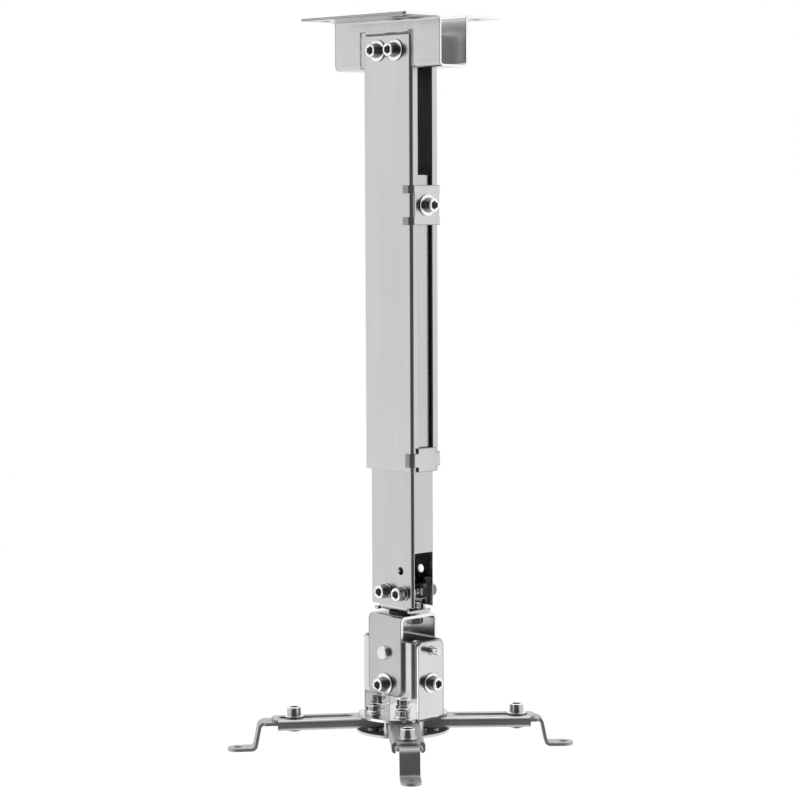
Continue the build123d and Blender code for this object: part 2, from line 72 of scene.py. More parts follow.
floor_drop, floor_reach = 1.0, 6.0
paint_grey, paint_glow = 0.80, 0.24
floor_z = cad_box[0][2] - floor_drop
floor_mesh = bpy.data.meshes.new("floor")
floor_mesh.from_pydata(
    [(x * floor_reach, y * floor_reach, floor_z) for x, y in ((-1, -1), (1, -1), (1, 1), (-1, 1))],
    [], [(0, 1, 2, 3)],
)
floor = bpy.data.objects.new("floor", floor_mesh)
bpy.context.scene.collection.objects.link(floor)
floor_paint = bpy.data.materials.new("floor_paint")
floor_paint.use_nodes = True
tree = floor_paint.node_tree
surface = tree.nodes["Principled BSDF"]
surface.inputs["Base Color"].default_value = (paint_grey, paint_grey, paint_grey, 1)
surface.inputs["Roughness"].default_value = 0.9
surface.inputs["Specular IOR Level"].default_value = 0.0
surface.inputs["Emission Color"].default_value = (1, 1, 1, 1)
ray = tree.nodes.new("ShaderNodeLightPath")
watched = reckoned(tree, "MAXIMUM", ray.outputs["Is Camera Ray"], ray.outputs["Is Glossy Ray"])
tree.links.new(reckoned(tree, "MULTIPLY", watched, paint_glow), surface.inputs["Emission Strength"])
floor_mesh.materials.append(floor_paint)

# The room: an even white world, as in a studio with bounced light. The lens sees it behind the mount, and the
# plating mirrors it.
world = bpy.data.worlds.new("white_room")
bpy.context.scene.world = world
world.use_nodes = True
world.node_tree.nodes["Background"].inputs["Color"].default_value = (1, 1, 1, 1)
world.node_tree.nodes["Background"].inputs["Strength"].default_value = 1.0


# The dark card: a curved grey sheet round the lens, as a product studio has. It fades out at its sides, and
# flat plated faces mirror the white room beside it while rounded corners turn towards it and read dark.
def ranged(tree, value, start, end, low=0.0, high=1.0, smooth=False):
    """A value laid between low and high: start becomes low, end becomes high, and values beyond are held."""
    node = tree.nodes.new("ShaderNodeMapRange")
    if smooth:
        node.interpolation_type = "SMOOTHSTEP"
    for name, number in (("From Min", start), ("From Max", end), ("To Min", low), ("To Max", high)):
        node.inputs[name].default_value = number
    tree.links.new(value, node.inputs["Value"])
    return node.outputs["Result"]


lens_azimuth = np.radians(46.26)
lens_side = (np.sin(lens_azimuth), -np.cos(lens_azimuth), 0.0)
card_radius, card_swing = 1.2, np.radians(84)
card_low, card_high = floor_z + 0.01, 3.0
card_columns, card_rows = 49, 17
card_grey = 0.085
fade_start, fade_end = 0.42, 0.78
swing, height = np.meshgrid(np.linspace(-card_swing, card_swing, card_columns),
                            np.linspace(card_low, card_high, card_rows), indexing="ij")
card_points = np.stack(
    [card_radius * np.sin(lens_azimuth + swing), -card_radius * np.cos(lens_azimuth + swing), height], -1)
across, up = np.meshgrid(np.arange(card_columns - 1), np.arange(card_rows - 1), indexing="ij")
corner = (across * card_rows + up).ravel()
card_faces = np.stack([corner, corner + 1, corner + card_rows + 1, corner + card_rows], -1)
card_mesh = bpy.data.meshes.new("dark_card")
card_mesh.from_pydata(card_points.reshape(-1, 3).tolist(), [], card_faces.tolist())
card = bpy.data.objects.new("dark_card", card_mesh)
bpy.context.scene.collection.objects.link(card)
card.visible_camera = False
card.visible_diffuse = False
card_cloth = bpy.data.materials.new("card_cloth")
card_cloth.use_nodes = True
tree = card_cloth.node_tree
tree.nodes.clear()
place = tree.nodes.new("ShaderNodeTexCoord")
bearing = reckoned(tree, "NORMALIZE", place.outputs["Object"], kind="ShaderNodeVectorMath", gives="Vector")
towards = reckoned(tree, "DOT_PRODUCT", bearing, lens_side, kind="ShaderNodeVectorMath")
open_air = tree.nodes.new("ShaderNodeBsdfTransparent")
cloth = tree.nodes.new("ShaderNodeEmission")
cloth.inputs["Color"].default_value = (card_grey, card_grey, card_grey, 1)
cover = tree.nodes.new("ShaderNodeMixShader")
tree.links.new(ranged(tree, towards, fade_start, fade_end, smooth=True), cover.inputs[0])
tree.links.new(open_air.outputs[0], cover.inputs[1])
tree.links.new(cloth.outputs[0], cover.inputs[2])
output = tree.nodes.new("ShaderNodeOutputMaterial")
tree.links.new(cover.outputs[0], output.inputs["Surface"])
card_mesh.materials.append(card_cloth)

# The softbox: one broad lamp overhead, a little beyond the mount as the lens sees it. It gives upward faces
# and the screw heads' rims their light.
softbox_at, softbox_aim = Vector((-0.5, 0.4, 1.3)), Vector((0, 0, -0.3))
softbox_watts = 9.0
softbox = bpy.data.lights.new("softbox", "AREA")
softbox.shape = "RECTANGLE"
softbox.size, softbox.size_y = 1.6, 1.0
softbox.energy = softbox_watts
softbox_stand = bpy.data.objects.new("softbox", softbox)
softbox_stand.location = softbox_at
softbox_stand.rotation_euler = (softbox_aim - softbox_at).to_track_quat("-Z", "Y").to_euler()
bpy.context.scene.collection.objects.link(softbox_stand)

# The camera stands where the photograph was taken from: a long lens, level with the outer tube's middle,
# that looks slightly down on the bracket's near corner.
lens_tilt, lens_roll = np.radians(4.78), np.radians(-0.24)
lens_at = (1.18258, -1.13329, -0.11109)
lens_length, lens_sight = 112.80, 50
level_share = np.cos(lens_tilt)
view_along = Vector((-lens_side[0] * level_share, -lens_side[1] * level_share, -np.sin(lens_tilt)))
level_right = Vector((np.cos(lens_azimuth), np.sin(lens_azimuth), 0))
level_up = level_right.cross(view_along)
camera_right = level_right * float(np.cos(lens_roll)) + level_up * float(np.sin(lens_roll))
camera_up = camera_right.cross(view_along)
turn = Matrix((camera_right, camera_up, -view_along)).transposed()
lens = bpy.data.cameras.new("camera")
lens.lens = lens_length
lens.clip_end = lens_sight
camera = bpy.data.objects.new("camera", lens)
camera.matrix_world = Matrix.Translation(lens_at) @ turn.to_4x4()
bpy.context.scene.collection.objects.link(camera)
bpy.context.scene.camera = camera
bpy.context.scene.view_settings.view_transform = "Standard"


# Ceiling bracket: one sheet of 1.5 mm steel folded to a hat, slit round the tube and zinc plated. The plating
# is satin, with a fine grain and faint clouds where the bath left more or less zinc. Painted shade darkens it
# along the edges and folds, and the faces that look along X carry a painted highlight.
def noise(tree, vector, scale, detail, roughness=0.5):
    """A noise texture over a vector: a larger scale is finer, and more detail is busier."""
    node = tree.nodes.new("ShaderNodeTexNoise")
    node.inputs["Scale"].default_value = scale
    node.inputs["Detail"].default_value = detail
    node.inputs["Roughness"].default_value = roughness
    tree.links.new(vector, node.inputs["Vector"])
    return node.outputs["Fac"]


def rounded_normal(tree, radius):
    """The surface's normal as if its edges were rounded to a radius in metres."""
    node = tree.nodes.new("ShaderNodeBevel")
    node.samples = 6
    node.inputs["Radius"].default_value = radius
    return node.outputs["Normal"]


def zinc_plated(name, tone, gloss, grain=0.05, cloud=0.03, draw=(1, 1, 1), edge=0.0004, rim=1.2, band=None,
                painted_light_axis=None, lift=0.38):
    """Zinc plating on steel. Grey is tone plus slow clouds; roughness is gloss plus a fine grain, stretched
    along the way the sheet or tube was drawn; a band along the edges, where a more rounded normal leaves the
    true one, has rim times the tone: below one it is painted shade, above one rubbed wear and a painted
    highlight. An axis, X or Y, may be named: where that part of the normal squared is large, lift is added
    to the grey and the band is taken off, a painted highlight when lift is positive, painted shade when
    negative.
    """
    cloud_scale, grain_scale = 45.0, 1600.0
    noise_low, noise_high = 0.3, 0.7
    still_flat, turned_away = 0.995, 0.92
    facing_some, facing_fully = 0.6, 0.85
    material = bpy.data.materials.new(name)
    material.use_nodes = True
    tree = material.node_tree
    surface = tree.nodes["Principled BSDF"]
    surface.inputs["Metallic"].default_value = 1.0
    place = tree.nodes.new("ShaderNodeTexCoord")
    drawn = tree.nodes.new("ShaderNodeMapping")
    drawn.inputs["Scale"].default_value = draw
    tree.links.new(place.outputs["Object"], drawn.inputs["Vector"])
    clouds = noise(tree, drawn.outputs["Vector"], cloud_scale, detail=5.0, roughness=0.55)
    grains = noise(tree, drawn.outputs["Vector"], grain_scale, detail=3.0)
    grey = ranged(tree, clouds, noise_low, noise_high, tone - cloud, tone + cloud)
    matt = ranged(tree, grains, noise_low, noise_high, gloss - grain, gloss + grain)
    tree.links.new(matt, surface.inputs["Roughness"])

    # Painted shade along edges and folds where rim is below one; rubbed wear and a painted highlight where it
    # is above one.
    true_normal = tree.nodes.new("ShaderNodeNewGeometry").outputs["Normal"]
    outline = rounded_normal(tree, band or edge)
    meet = reckoned(tree, "DOT_PRODUCT", outline, true_normal, kind="ShaderNodeVectorMath")
    edge_shade_and_wear = ranged(tree, meet, still_flat, turned_away)
    # Painted highlight, or painted shade where lift is negative, on the faces that look along the named axis.
    if painted_light_axis:
        facing = tree.nodes.new("ShaderNodeSeparateXYZ")
        tree.links.new(place.outputs["Normal"], facing.inputs[0])
        square = reckoned(tree, "MULTIPLY", facing.outputs[painted_light_axis], facing.outputs[painted_light_axis])
        cut = ranged(tree, square, facing_some, facing_fully)
        grey = reckoned(tree, "MULTIPLY_ADD", cut, lift, grey)
        edge_shade_and_wear = reckoned(tree, "MAXIMUM", reckoned(tree, "SUBTRACT", edge_shade_and_wear, cut), 0.0)
    edge_shade_and_wear_mix = tree.nodes.new("ShaderNodeMix")
    edge_shade_and_wear_mix.inputs["B"].default_value = min(1.0, tone * rim)
    tree.links.new(edge_shade_and_wear, edge_shade_and_wear_mix.inputs["Factor"])
    tree.links.new(grey, edge_shade_and_wear_mix.inputs["A"])
    tree.links.new(edge_shade_and_wear_mix.outputs["Result"], surface.inputs["Base Color"])

    tooth = tree.nodes.new("ShaderNodeBump")
    tooth.inputs["Strength"].default_value = 0.01
    tooth.inputs["Distance"].default_value = 0.0002
    tree.links.new(grains, tooth.inputs["Height"])
    tree.links.new(rounded_normal(tree, edge), tooth.inputs["Normal"])
    tree.links.new(tooth.outputs["Normal"], surface.inputs["Normal"])
    return material


def finish(node_name, material):
    """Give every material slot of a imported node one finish."""
    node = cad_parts[node_name]
    if not node.material_slots:
        node.data.materials.append(material)
    for slot in node.material_slots:
        slot.material = material


# Painted shade along the bracket's edges and folds, and a painted highlight on its faces that look along X.
finish("ceiling_bracket", zinc_plated(
    "bracket_plating", tone=0.59, gloss=0.23, grain=0.03, edge=0.0005, rim=0.25, band=0.0016, painted_light_axis="X"))

# Outer tube: 45 x 25 mm steel tube, slotted along one narrow side, with faint draw lines along its length,
# and the saddle clip that closes the slot's open end, pressed on over the tube's corners.
along_tube = (1, 1, 0.12)
finish("outer_tube", zinc_plated(
    "outer_tube_plating", tone=0.60, gloss=0.22, grain=0.02, draw=along_tube, rim=0.6))
# The clip's faces that look along Y, its fingers round the tube's corners, get painted shade, and its edges
# painted shade.
finish("slot_end_clip", zinc_plated(
    "clip_plating", tone=0.62, gloss=0.22, edge=0.0005, rim=0.4, band=0.0012, painted_light_axis="Y", lift=-0.34))

# Top bolts: M5 socket screws through the tube's broad walls and the bracket's tabs, two on each side, each
# with a flat washer and a split spring washer under its knurled head and a hexagon nut inside the tube.
upwards, downwards, outwards = (0, 0, 1), (0, 0, -1), (1, 0, 0)
m5_radius, m5_pitch = 2.5, 0.8
m5_head_radius, m5_head_height, knurl_teeth = 4.3, 5.0, 30
m5_socket, m5_socket_depth = 4.9, 2.8
m5_washer_bore, m5_washer_thick = 2.8, 1.0
m5_spring_radius, m5_spring_height = 4.8, 1.2
m5_nut_flats, m5_nut_bore, m5_nut_height = 8.0, 2.55, 4.0


def hexagon(angles, across_flats):
    """Radius of a hexagon at each angle: half its width over the cosine of the angle from a flat's middle."""
    return across_flats / 2 / np.cos(angles % (np.pi / 3) - np.pi / 6)


def turned(radii, heights, angles, closed=False, bands=()):
    """A turned piece along its own Z: ring i stands at heights[i] with radius radii[i] at each angle. An open
    profile ends in a point on the axis at both ends; a closed one returns to its first ring, as on a washer.
    Bands give a second or third finish to the strips from one ring to another.
    """
    count = len(angles)
    radii = np.stack([np.broadcast_to(np.asarray(r, float), (count,)) for r in radii])
    heights = np.stack([np.broadcast_to(np.asarray(z, float), (count,)) for z in heights])
    rings = len(radii)
    points = np.stack([radii * np.cos(angles), radii * np.sin(angles), heights], -1).reshape(-1, 3)
    ring = np.arange(rings if closed else rings - 1)[:, None]
    step = np.arange(count)[None, :]
    above = (ring + 1) % rings
    beside = (step + 1) % count
    faces = np.stack(
        [ring * count + step, ring * count + beside, above * count + beside, above * count + step], -1
    ).reshape(-1, 4).tolist()
    finishes = np.zeros(len(ring), int)
    for start, end, finish_index in bands:
        finishes[start:end] = finish_index
    caps = [] if closed else [finishes[0]] * count + [finishes[-1]] * count
    finishes = np.repeat(finishes, count).tolist() + caps
    if not closed:
        low, high = len(points), len(points) + 1
        points = np.vstack([points, (0, 0, heights[0].mean()), (0, 0, heights[-1].mean())])
        turn_round = np.arange(count)
        next_round = (turn_round + 1) % count
        top = (rings - 1) * count
        faces += np.stack([next_round, turn_round, np.full(count, low)], -1).tolist()
        faces += np.stack([top + turn_round, top + next_round, np.full(count, high)], -1).tolist()
    return points, faces, finishes


def stood(piece, at, along, first=upwards):
    """Move a piece from its own axes to a point: its Z goes along one direction and its X along another."""
    points, faces, finishes = piece
    along, first = np.asarray(along, float), np.asarray(first, float)
    axes = np.stack([first, np.cross(along, first), along])
    return points @ axes + np.asarray(at), faces, finishes


def gathered(name, pieces, body, node, *materials):
    """Join like pieces in one mesh with crisp edges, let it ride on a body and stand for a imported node."""
    crease, millimetres = np.radians(32), 1000
    starts = np.cumsum([0] + [len(points) for points, _, _ in pieces])
    points = np.vstack([points for points, _, _ in pieces])
    faces = [[index + start for index in face]
             for (_, many, _), start in zip(pieces, starts) for face in many]
    mesh = bpy.data.meshes.new(name)
    mesh.from_pydata((points / millimetres).tolist(), [], faces)
    mesh.shade_smooth()
    mesh.set_sharp_from_angle(angle=crease)
    for material in materials:
        mesh.materials.append(material)
    mesh.polygons.foreach_set("material_index", [index for _, _, finishes in pieces for index in finishes])
    piece = bpy.data.objects.new(name, mesh)
    bpy.context.scene.collection.objects.link(piece)
    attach(piece, body)
    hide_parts(node)


def screw_head(radius, height, socket, depth, teeth, tooth=0.11, flange=None):
    """Knurled cylinder head with a rounded rim, a chamfered hexagon socket and, if asked, a flange below it.
    The knurl is a triangle wave in the radius, one period a tooth. The knurl takes the second finish and the
    socket's walls the third, darker greys that are painted shade.
    """
    steps = 4
    angles = np.arange(teeth * steps) / (teeth * steps) * 2 * np.pi
    wave = np.abs((np.arange(teeth * steps) % steps) / (steps / 2) - 1)
    knurled = radius - tooth * wave
    key = hexagon(angles, socket)
    if flange:
        wide, thick = flange
        foot = [(0.4 * radius, 0), (wide - 0.15, 0), (wide, 0.15), (wide, thick - 0.2), (wide - 0.2, thick),
                (radius + 0.02, thick), (radius - 0.2, thick + 0.05)]
        start = thick
    else:
        foot = [(0.4 * radius, 0), (radius - 0.3, 0)]
        start = 0
    side = [(radius, start + 0.3), (knurled, start + 0.42), (knurled, height - 1.0), (radius, height - 0.85),
            (radius, height - 0.55), (radius - 0.08, height - 0.27), (radius - 0.27, height - 0.08),
            (radius - 0.55, height)]
    recess = [(key + 0.3, height), (key, height - 0.3), (key, height - depth),
              (0.5 * key, height - depth - 0.3)]
    radii, heights = zip(*(foot + side + recess))
    knurl, rim = len(foot), len(foot) + len(side)
    return turned(radii, heights, angles, bands=[(knurl, knurl + 4, 1), (rim + 1, rim + 2, 2)])


def screw_shank(radius, pitch, length, plain=0.0):
    """Threaded rod that hangs below Z = 0. The thread's depth is a triangle wave of height over pitch,
    shifted by the angle, so that its crest climbs one pitch in a turn; the end is chamfered.
    """
    thread, chamfer = 0.55 * pitch, 0.7
    angles = np.linspace(0, 2 * np.pi, 20, endpoint=False)
    rows = np.arange(-length, 0.001, pitch / 4)
    turn_share = rows[:, None] / pitch - angles[None, :] / (2 * np.pi)
    wave = np.abs((turn_share % 1.0) - 0.5) * 2
    depth = thread * wave * (rows < -plain)[:, None]
    taper = np.clip(chamfer - (rows + length), 0, None)[:, None]
    radii = radius - np.maximum(depth, taper)
    return turned([0.35 * radius] + list(radii), [-length] + list(rows), angles)


def flat_washer(outer, inner, thick):
    """Stamped washer: square below, rolled over at its upper rim. Its outer, cut side has the second finish,
    a darker grey that is painted shade.
    """
    angles = np.linspace(0, 2 * np.pi, 72, endpoint=False)
    lower, rolled, bevel = 0.12, 0.34, 0.1
    radii = [inner + bevel, outer - lower, outer, outer, outer - bevel, outer - rolled,
             inner + bevel, inner, inner]
    heights = [0, 0, lower, thick - rolled, thick - bevel, thick, thick, thick - bevel, bevel]
    return turned(radii, heights, angles, closed=True, bands=[(1, 4, 1)])


def spring_washer(outer, inner, thick):
    """Square wire wound to most of a turn: its section rises with the angle, and both ends are cut square."""
    gap, rise, bevel = 0.10, 0.16, 0.1
    angles = np.linspace(gap, 2 * np.pi - gap, 61)
    lift = rise * angles / (2 * np.pi)
    wire = thick - rise
    across = np.array([inner, outer - bevel, outer, outer, outer - bevel, inner])
    tall = np.array([0, 0, bevel, wire - bevel, wire, wire])
    heights = tall[None, :] + lift[:, None]
    radii = np.repeat(across[None, :], len(angles), 0)
    points = np.stack(
        [radii * np.cos(angles)[:, None], radii * np.sin(angles)[:, None], heights], -1
    ).reshape(-1, 3)
    section = len(across)
    cut = np.arange(len(angles) - 1)[:, None]
    edge = np.arange(section)[None, :]
    beside = (edge + 1) % section
    here, there = cut * section, (cut + 1) * section
    faces = np.stack(
        [here + edge, there + edge, there + beside, here + beside], -1
    ).reshape(-1, 4).tolist()
    last = (len(angles) - 1) * section
    faces.append(list(range(section)))
    faces.append([last + index for index in reversed(range(section))])
    return points, faces, [0] * len(faces)


def hexagon_nut(across_flats, bore, height):
    """Hexagon nut: a cone over each end cuts the corners, so each chamfer's height follows the radius."""
    angles = np.linspace(0, 2 * np.pi, 72, endpoint=False)
    corner = hexagon(angles, across_flats)
    face = across_flats / 2 * 0.96
    drop = (corner - face) * np.tan(np.radians(30))
    countersink = 0.35
    radii = [bore + countersink, face, corner, corner, face, bore + countersink, bore, bore]
    heights = [0, 0, drop, height - drop, height, height, height - countersink, countersink]
    return turned(radii, heights, angles, closed=True)


def bolted(seats, along, washer_radius, nut_depth, shank):
    """M5 bolt sets on a wall: flat washer, spring washer, screw and nut for each seat. The seats are points
    on the wall's face, along is the way out of it, and nut_depth is how far behind the face the nut stands.
    """
    along = np.asarray(along, float)
    head_seat = m5_washer_thick + m5_spring_height
    into_head = 0.1
    flats, springs, screws, nuts = [], [], [], []
    for seat in np.asarray(seats, float):
        flats.append(stood(flat_washer(washer_radius, m5_washer_bore, m5_washer_thick), seat, along))
        springs.append(stood(spring_washer(m5_spring_radius, m5_washer_bore, m5_spring_height),
                             seat + along * m5_washer_thick, along))
        screws.append(stood(
            screw_head(m5_head_radius, m5_head_height, m5_socket, m5_socket_depth, knurl_teeth),
            seat + along * head_seat, along))
        screws.append(stood(screw_shank(m5_radius, m5_pitch, shank),
                            seat + along * (head_seat + into_head), along))
        nuts.append(stood(hexagon_nut(m5_nut_flats, m5_nut_bore, m5_nut_height),
                          seat - along * nut_depth, -along))
    return flats, springs, screws, nuts


def bolted_both_sides(seats, along, **sizes):
    """The same bolt sets on a wall and, mirrored, on the wall that faces the other way."""
    seats, along = np.asarray(seats, float), np.asarray(along, float)
    facing_away = bolted(seats * (1 - 2 * along), -along, **sizes)
    return [one + other for one, other in zip(facing_away, bolted(seats, along, **sizes))]


bright_zinc = zinc_plated("bright_zinc", tone=0.93, gloss=0.12, grain=0.03, edge=0.00012)
# The knurl's dark grey is painted shade, for light lost in its grooves.
painted_shade_knurl_zinc = zinc_plated("painted_shade_knurl_zinc", tone=0.27, gloss=0.16, grain=0.04, cloud=0.05, edge=0.00012)
socket_shade = zinc_plated("socket_shade", tone=0.20, gloss=0.12, cloud=0.02, edge=0.00012)
washer_zinc = zinc_plated("washer_zinc", tone=0.90, gloss=0.17, grain=0.04, edge=0.00012)
# Dark grey for the split washers; the same finish on the flat washers' outer sides is painted shade.
spring_steel_and_washer_shade = zinc_plated("spring_steel_and_washer_shade", tone=0.24, gloss=0.20, cloud=0.04, edge=0.00012)
nut_zinc = zinc_plated("nut_zinc", tone=0.48, gloss=0.20, cloud=0.04, edge=0.0002)
screw_finishes = (bright_zinc, painted_shade_knurl_zinc, socket_shade)
washer_finishes = (washer_zinc, spring_steel_and_washer_shade)
tube_face = 12.5
top_bolt_level, top_bolt_side = -21.0, 8.2
flats, springs, screws, nuts = bolted_both_sides(
    [(-top_bolt_side, tube_face, top_bolt_level), (top_bolt_side, tube_face, top_bolt_level)],
    along=(0, 1, 0), washer_radius=7.1, nut_depth=3.15, shank=10.65)
gathered("top_flat_washers", flats, "ceiling", "top_washers", *washer_finishes)
gathered("top_split_washers", springs, "ceiling", "top_spring_washers", spring_steel_and_washer_shade)
gathered("top_screws", screws, "ceiling", "top_bolts", *screw_finishes)
gathered("top_hexagon_nuts", nuts, "ceiling", "top_nuts", nut_zinc)

# Inner tube: 40 x 20 mm steel tube that slides in the outer one, with a window and a cross hole at its lower
# end. Its plating is a little darker, and drawn along its length like the outer tube's.
finish("inner_tube", zinc_plated(
    "inner_tube_plating", tone=0.57, gloss=0.22, grain=0.015, draw=along_tube, edge=0.0005, rim=1.5))

# Clamp: a folded and zinc plated plate hooked round the outer tube. One M5 screw draws it against the tube,
# and runs in the tube's slot to a nut inside the inner tube.
clamp_face, clamp_level = 24.25, -120.6
# The clamp's faces that look along Y, its fingers round the tube's corner, get painted shade, and its edges
# painted shade.
finish("clamp_plate", zinc_plated(
    "clamp_plating", tone=0.64, gloss=0.20, edge=0.0005, rim=0.4, band=0.0012, painted_light_axis="Y", lift=-0.36))
flats, springs, screws, nuts = bolted(
    [(clamp_face, 0, clamp_level)], outwards, washer_radius=7.1, nut_depth=5.75, shank=13.25)
gathered("clamp_flat_washer", flats, "column", "clamp_washer", *washer_finishes)
gathered("clamp_split_washer", springs, "column", "clamp_spring_washer", spring_steel_and_washer_shade)
gathered("clamp_screw", screws, "column", "clamp_bolt", *screw_finishes)
gathered("clamp_hexagon_nut", nuts, "column", "clamp_nut", nut_zinc)

# Shoe: a U bracket of zinc plated 2 mm sheet, whose legs stand in the inner tube. Two M5 screws on each side,
# with small washers, hold it there.
inner_tube_face = 10.0
shoe_bolt_level, shoe_bolt_left, shoe_bolt_right = -373.9, -5.1, 10.9
finish("shoe", zinc_plated("shoe_plating", tone=0.64, gloss=0.17, edge=0.0005, rim=0.4, band=0.0012))
flats, springs, screws, nuts = bolted_both_sides(
    [(shoe_bolt_left, inner_tube_face, shoe_bolt_level), (shoe_bolt_right, inner_tube_face, shoe_bolt_level)],
    along=(0, 1, 0), washer_radius=5.2, nut_depth=3.65, shank=10.95)
gathered("shoe_flat_washers", flats, "column", "shoe_washers", *washer_finishes)
gathered("shoe_split_washers", springs, "column", "shoe_spring_washers", spring_steel_and_washer_shade)
gathered("shoe_screws", screws, "column", "shoe_bolts", *screw_finishes)
gathered("shoe_hexagon_nuts", nuts, "column", "shoe_nuts", nut_zinc)


# Pan joint: a rivet on the column's axis with a dark friction washer between shoe and yoke, and an M6 screw
# that locks it in an arc slot. The washer's near-black is partly its own colour and partly painted shade of
# the gap.
def riveted(radius, height, rounding):
    """Button head: a disc whose upper rim is a quarter circle of the rounding's radius."""
    angles = np.linspace(0, 2 * np.pi, 64, endpoint=False)
    sweep = np.linspace(0, np.pi / 2, 7)
    rim = radius - rounding + rounding * np.cos(sweep)
    rise = height - rounding + rounding * np.sin(sweep)
    radii = [0.4 * radius, radius - 0.1, radius, *rim, 0.35 * radius]
    heights = [0, 0, 0.1, *rise, height]
    return turned(radii, heights, angles)


def pin_shaft(radius, length, chamfer):
    """Plain turned pin with a chamfer at its far end."""
    angles = np.linspace(0, 2 * np.pi, 48, endpoint=False)
    radii = [0.5 * radius, radius, radius, radius - 0.35 * chamfer, radius - chamfer, 0.4 * radius]
    heights = [0, 0, length - chamfer, length - 0.35 * chamfer, length, length]
    return turned(radii, heights, angles)


# Near-black washer: partly its own colour, partly painted shade of the narrow gap between shoe and yoke.
friction = bpy.data.materials.new("friction_washer")
friction.use_nodes = True
tree = friction.node_tree
surface = tree.nodes["Principled BSDF"]
surface.inputs["Specular IOR Level"].default_value = 0.3
place = tree.nodes.new("ShaderNodeTexCoord")
fibre = noise(tree, place.outputs["Object"], scale=900.0, detail=4.0)
speck = tree.nodes.new("ShaderNodeValToRGB")
speck.color_ramp.elements[0].color = (0.012, 0.012, 0.013, 1)
speck.color_ramp.elements[1].color = (0.06, 0.06, 0.065, 1)
tree.links.new(fibre, speck.inputs["Fac"])
tree.links.new(speck.outputs["Color"], surface.inputs["Base Color"])
tree.links.new(ranged(tree, fibre, 0.0, 1.0, low=0.5, high=0.8), surface.inputs["Roughness"])
finish("pan_washer", friction)

rivet_zinc = zinc_plated("rivet_zinc", tone=0.78, gloss=0.20, grain=0.04, edge=0.0003, rim=0.5)
m6_radius, m6_pitch, m6_washer_bore = 3.0, 1.0, 3.3
m6_nut_flats, m6_nut_bore, m6_nut_height = 10.0, 3.05, 4.0
shoe_floor, yoke_underside = -384.8, -390.65
pan_bolt_side, pan_washer_thick = 11.2, 1.2
pan_head_radius, pan_head_height, pan_socket, pan_socket_depth = 4.3, 3.5, 4.9, 2.2
pan_head = shoe_floor + pan_washer_thick
pan_button = riveted(radius=4.0, height=1.4, rounding=0.9)
gathered("pan_rivet_turned", [
    stood(pan_button, (0, 0, shoe_floor), upwards, outwards),
    stood(pin_shaft(radius=3.0, length=6.2, chamfer=0.2), (0, 0, yoke_underside - 0.05), upwards, outwards),
    stood(pan_button, (0, 0, yoke_underside), downwards, outwards),
], "yoke", "pan_rivet", rivet_zinc)
gathered("pan_screw", [
    stood(screw_head(pan_head_radius, pan_head_height, pan_socket, pan_socket_depth, knurl_teeth),
          (pan_bolt_side, 0, pan_head), upwards, outwards),
    stood(screw_shank(m6_radius, m6_pitch, length=11.35), (pan_bolt_side, 0, pan_head), upwards, outwards),
], "yoke", "pan_lock_bolt", *screw_finishes)
gathered("pan_flat_washer", [
    stood(flat_washer(pan_head_radius, m6_washer_bore, pan_washer_thick),
          (pan_bolt_side, 0, shoe_floor), upwards, outwards),
], "yoke", "pan_lock_washer", *washer_finishes)
gathered("pan_hexagon_nut", [
    stood(hexagon_nut(m6_nut_flats, m6_nut_bore, m6_nut_height),
          (pan_bolt_side, 0, yoke_underside), downwards, outwards),
], "yoke", "pan_lock_nut", nut_zinc)

# Yoke: an inverted U of 2 mm sheet. Button rivets through its walls are the roll axis, and an M5 screw below
# each locks the tilt block in an arc slot.
yoke_face, block_inside = 16.4, 12.5
roll_axis, roll_bolt_level = -413.5, -434.2
# The yoke's faces that look along X get a painted highlight, and its edges and folds painted shade.
finish("yoke", zinc_plated(
    "yoke_plating", tone=0.51, gloss=0.20, edge=0.0005, rim=0.25, band=0.0016, painted_light_axis="X"))
inner_button = riveted(radius=4.4, height=1.4, rounding=0.9)
gathered("roll_button_rivets", [
    piece
    for way in (-1, 1)
    for piece in (
        stood(riveted(radius=4.6, height=3.2, rounding=1.1), (0, way * yoke_face, roll_axis), (0, way, 0)),
        stood(pin_shaft(radius=3.0, length=3.9, chamfer=0.1), (0, way * yoke_face, roll_axis), (0, -way, 0)),
        stood(inner_button, (0, way * block_inside, roll_axis), (0, -way, 0)),
    )
], "yoke", "roll_rivets", rivet_zinc)
flats, springs, screws, nuts = bolted_both_sides(
    [(0, yoke_face, roll_bolt_level)], along=(0, 1, 0), washer_radius=7.2, nut_depth=3.9, shank=11.2)
gathered("roll_flat_washers", flats, "yoke", "roll_lock_washers", *washer_finishes)
gathered("roll_split_washers", springs, "yoke", "roll_lock_spring_washers", spring_steel_and_washer_shade)
gathered("roll_screws", screws, "yoke", "roll_lock_bolts", *screw_finishes)
gathered("roll_hexagon_nuts", nuts, "yoke", "roll_lock_nuts", nut_zinc)

# Tilt block: a ring folded from 1.5 mm sheet, with arc slots in all four walls, and the two long pins that
# the cradle swings on.
block_end, pitch_axis = 23.1, -410.7
finish("tilt_block", zinc_plated("block_plating", tone=0.68, gloss=0.20, edge=0.0006, rim=0.5))
gathered("pitch_turned_pins", [
    piece
    for way in (-1, 1)
    for piece in (
        stood(pin_shaft(radius=2.5, length=10.9, chamfer=0.5), (way * block_end, 0, pitch_axis), (way, 0, 0)),
        stood(inner_button, (way * block_end, 0, pitch_axis), (-way, 0, 0)),
    )
], "block", "pitch_pins", rivet_zinc)

# Cradle: an upright U folded from one sheet, whose base widens to the round hub plate. Its plating is the
# shiniest of the mount, and an M5 screw in each wall locks its pitch.
cradle_face, pitch_bolt_level = 26.6, -432.2
